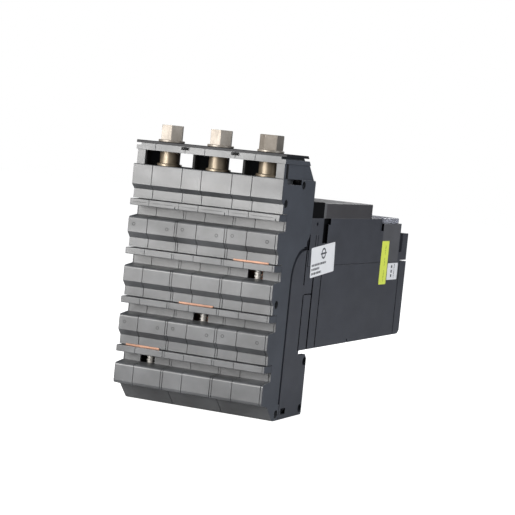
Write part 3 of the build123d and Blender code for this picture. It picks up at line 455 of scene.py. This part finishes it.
def facing(centre, across, upward):
    """Placing matrix whose X is across, Y is upward and Z comes out of the surface."""
    out = across.cross(upward)
    turn = Matrix((across, upward, out)).transposed().to_4x4()
    return Matrix.Translation(centre) @ turn @ Matrix.Diagonal((MM, MM, MM, 1))


# ---------------------------------------------------------------- labels on the right side
def side_label(name, y, z, width, height, tilt, material):
    """Label plate with rounded corners on the right side of the case."""
    lean = math.radians(tilt)
    across = Vector((0, math.cos(lean), math.sin(lean)))
    upward = Vector((0, -math.sin(lean), math.cos(lean)))
    place = facing(spot(SIDE_X, y, z), across, upward)
    bm = bmesh.new()
    outlined(bm, rounded(width, height, 2.0), 0.17, place)
    return piece(name, finished(bm, name), material), place


def print_lines(name, place, lines, material, seed, turned=False):
    """Rows of small bars that stand for print; each line is (x, y, length, height)."""
    rng = random.Random(seed)
    bm = bmesh.new()
    for x, y, length, height in lines:
        start = x
        while start < x + length:
            bar = height * rng.uniform(0.35, 1.0)
            points = [(start, y), (start + bar, y), (start + bar, y + height), (start, y + height)]
            if turned:
                points = [(-b, a) for a, b in points]
            outlined(bm, points, 0.06, place @ Matrix.Translation((0, 0, 0.16)))
            start += bar + height * rng.uniform(0.15, 0.55)
    return piece(name, finished(bm, name), material)


def side_labels():
    """Three labels with generic marks, which stand in for the CAD's plain label plates."""
    plate, place = side_label("rating_label", 155.3, 203.3, 81, 39.5, 5.4, "label_white")
    lines = [(-37, -5.5, 46, 2.9), (-37, -11.0, 25, 2.9), (-37, -16.5, 33, 2.9)]
    print_lines("rating_print", place, lines, "print_grey", 3)
    bm = bmesh.new()
    emblem = place @ Matrix.Translation((2, 8.5, 0.16))
    bm_ring(bm, circle(7.4), 0.7, 0.06, emblem)
    outlined(bm, rounded(20, 2.2, 0.8), 0.06, emblem @ Matrix.Translation((0, 0, 0.01)))
    piece("rating_emblem", finished(bm, "rating_emblem"), "print_grey")
    _, place = side_label("lime_label", 393, 194.5, 29.5, 63, 0, "label_lime")
    marks = [(-27, -3.0, 16, 2.2), (-4, -3.0, 10, 2.2), (12, -3.0, 13, 2.2)]
    print_lines("lime_print", place, marks, "print_lime", 8, turned=True)
    _, place = side_label("small_label", 432, 181, 43.5, 24.5, 0, "label_white")
    marks = [(-8, 2.0, 16, 5.0), (-9, -8.0, 18, 2.0)]
    print_lines("small_print", place, marks, "print_grey", 5, turned=True)
    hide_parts("side_labels")


side_labels()


# ---------------------------------------------------------------- marks on the mouldings
def ejector_marks():
    """Small round marks that the mould's pins leave on the second and fourth rows."""
    bm = bmesh.new()
    for row in MARK_ROWS:
        z = MARK_HEIGHT - LEVEL_PITCH * (row - 1)
        for pole_x in POLE_CENTRES:
            for x, drop in MARK_PLACES:
                place = facing(spot(pole_x + x, 0, z - drop), Vector((1, 0, 0)), Vector((0, 0, 1)))
                bm_ring(bm, circle(MARK_RADIUS), 0.6, 0.12, place)
    return piece("ejector_marks", finished(bm, "ejector_marks"), "mark_grey")


ejector_marks()


def face_marks():
    """On and off marks beside the handle slot, and scales around the dials."""
    bm = bmesh.new()
    across, upward = Vector((1, 0, 0)), Vector((0, 1, 0))
    on_place = facing(spot(HANDLE_MARKS_X, ON_MARK_Y, CAP_TOP - SUNK), across, upward)
    outlined(bm, [(-0.8, -5), (0.8, -5), (0.8, 5), (-0.8, 5)], 0.12, on_place)
    off_place = facing(spot(HANDLE_MARKS_X, OFF_MARK_Y, CAP_TOP - SUNK), across, upward)
    bm_ring(bm, circle(4.6, flat=1.17), 0.72, 0.12, off_place)
    for x, y in DIAL_PLACES:
        for step in range(DIAL_STEPS):
            angle = math.radians(DIAL_START - DIAL_STEP * step)
            long_mark = 11.8 if step % 5 == 0 else 10.8
            direction = Vector((math.cos(angle), math.sin(angle)))
            side = Vector((-direction.y, direction.x)) * 0.25
            corners = [direction * 9 - side, direction * long_mark - side,
                       direction * long_mark + side, direction * 9 + side]
            place = facing(spot(x, y, TRIP_FACE - SUNK), across, upward)
            outlined(bm, [(c.x, c.y) for c in corners], 0.1, place)
    return piece("face_marks", finished(bm, "face_marks"), "print_white")


face_marks()


def trip_face():
    """Display and lamps on the trip unit's face, under the lid."""
    across, upward = Vector((1, 0, 0)), Vector((0, 1, 0))
    bm = bmesh.new()
    screen = facing(spot(*DISPLAY_PLACE, TRIP_FACE - SUNK), across, upward)
    outlined(bm, rounded(38, 17, 1.5), 0.5, screen)
    piece("trip_display", finished(bm, "trip_display"), "display_glass")
    bm = bmesh.new()
    for index in range(3):
        x, y = LAMP_PLACE[0] + LAMP_PITCH * index, LAMP_PLACE[1]
        lamp = facing(spot(x, y, TRIP_FACE - SUNK), across, upward)
        bm_ring(bm, circle(1.7), 0.55, 0.35, lamp)
        outlined(bm, circle(1.0), 0.45, lamp)
    piece("trip_lamps", finished(bm, "trip_lamps"), "lamp_green")


trip_face()


# ---------------------------------------------------------------- light, floor and camera
def aimed(obj, target):
    obj.rotation_euler = (target - obj.location).to_track_quat("-Z", "Y").to_euler()


def softbox(name, bearing, lift, distance, width, height, power, colour=(1, 1, 1)):
    """Area light at a bearing from -Y towards +X and a height angle, aimed at the object."""
    centre = spot(0, 120, 180)
    bearing, lift = math.radians(bearing), math.radians(lift)
    way = Vector((math.sin(bearing) * math.cos(lift), -math.cos(bearing) * math.cos(lift), math.sin(lift)))
    data = bpy.data.lights.new(name, "AREA")
    data.shape = "RECTANGLE"
    data.size = width
    data.size_y = height
    data.energy = power
    data.color = colour
    light = bpy.data.objects.new(name, data)
    bpy.context.scene.collection.objects.link(light)
    light.location = centre + way * distance
    aimed(light, centre)
    return light


def studio():
    softbox("key", -25, 13, 2.2, 1.5, 1.1, 90, (1.0, 0.985, 0.96))
    softbox("right_fill", 78, 24, 2.2, 1.2, 1.2, 28, (0.90, 0.95, 1.0))
    softbox("top", 10, 82, 2.0, 1.4, 1.4, 8)
    softbox("back", 178, 30, 2.4, 1.6, 1.0, 20)
    world = bpy.data.worlds.new("studio")
    bpy.context.scene.world = world
    world.use_nodes = True
    nodes, links = world.node_tree.nodes, world.node_tree.links
    seen = nodes["Background"]
    seen.inputs["Color"].default_value = (1, 1, 1, 1)
    seen.inputs["Strength"].default_value = 1.0
    ambient = nodes.new("ShaderNodeBackground")
    ambient.inputs["Color"].default_value = (0.82, 0.88, 1.0, 1)
    ambient.inputs["Strength"].default_value = 0.12
    path = nodes.new("ShaderNodeLightPath")
    mix = nodes.new("ShaderNodeMixShader")
    links.new(path.outputs["Is Camera Ray"], mix.inputs["Fac"])
    links.new(ambient.outputs["Background"], mix.inputs[1])
    links.new(seen.outputs["Background"], mix.inputs[2])
    links.new(mix.outputs["Shader"], nodes["World Output"].inputs["Surface"])


def floor():
    """Plain pale floor under the block's feet; its glow shows to the camera, but doesn't light the object."""
    bm = bmesh.new()
    bmesh.ops.create_grid(bm, x_segments=8, y_segments=8, size=8)
    mesh = finished(bm, "floor")
    ground = bpy.data.objects.new("floor", mesh)
    bpy.context.scene.collection.objects.link(ground)
    ground.location = (0, 0, CAD_BOX[0][2] - 0.0005)
    shader = Shader("pale_floor", (0.5, 0.5, 0.5), 0.6)
    shader.principled.inputs["Emission Color"].default_value = (1, 1, 1, 1)
    path = shader.nodes.new("ShaderNodeLightPath")
    shader.feed("Emission Strength", shader.between(path.outputs["Is Camera Ray"], 0.0, FLOOR_GLOW, 0.0, 1.0))
    mesh.materials.append(shader.done())


def camera():
    """Long lens from the right of the line end, a little above, leaning slightly."""
    bearing, dip, lean = math.radians(23.967), math.radians(3.675), math.radians(5.696)
    level = Vector((math.cos(bearing), math.sin(bearing), 0))
    ahead = Vector((-math.sin(bearing) * math.cos(dip), math.cos(bearing) * math.cos(dip), -math.sin(dip)))
    upright = level.cross(ahead)
    right = level * math.cos(lean) + upright * math.sin(lean)
    up = upright * math.cos(lean) - level * math.sin(lean)
    data = bpy.data.cameras.new("camera")
    data.sensor_width = 36
    data.lens = LENS
    data.clip_end = 50
    eye = bpy.data.objects.new("camera", data)
    bpy.context.scene.collection.objects.link(eye)
    turn = Matrix((right, up, -ahead)).transposed().to_4x4()
    eye.matrix_world = Matrix.Translation(spot(*EYE)) @ turn
    bpy.context.scene.camera = eye


studio()
floor()
camera()
bpy.context.scene.view_settings.view_transform = "Standard"
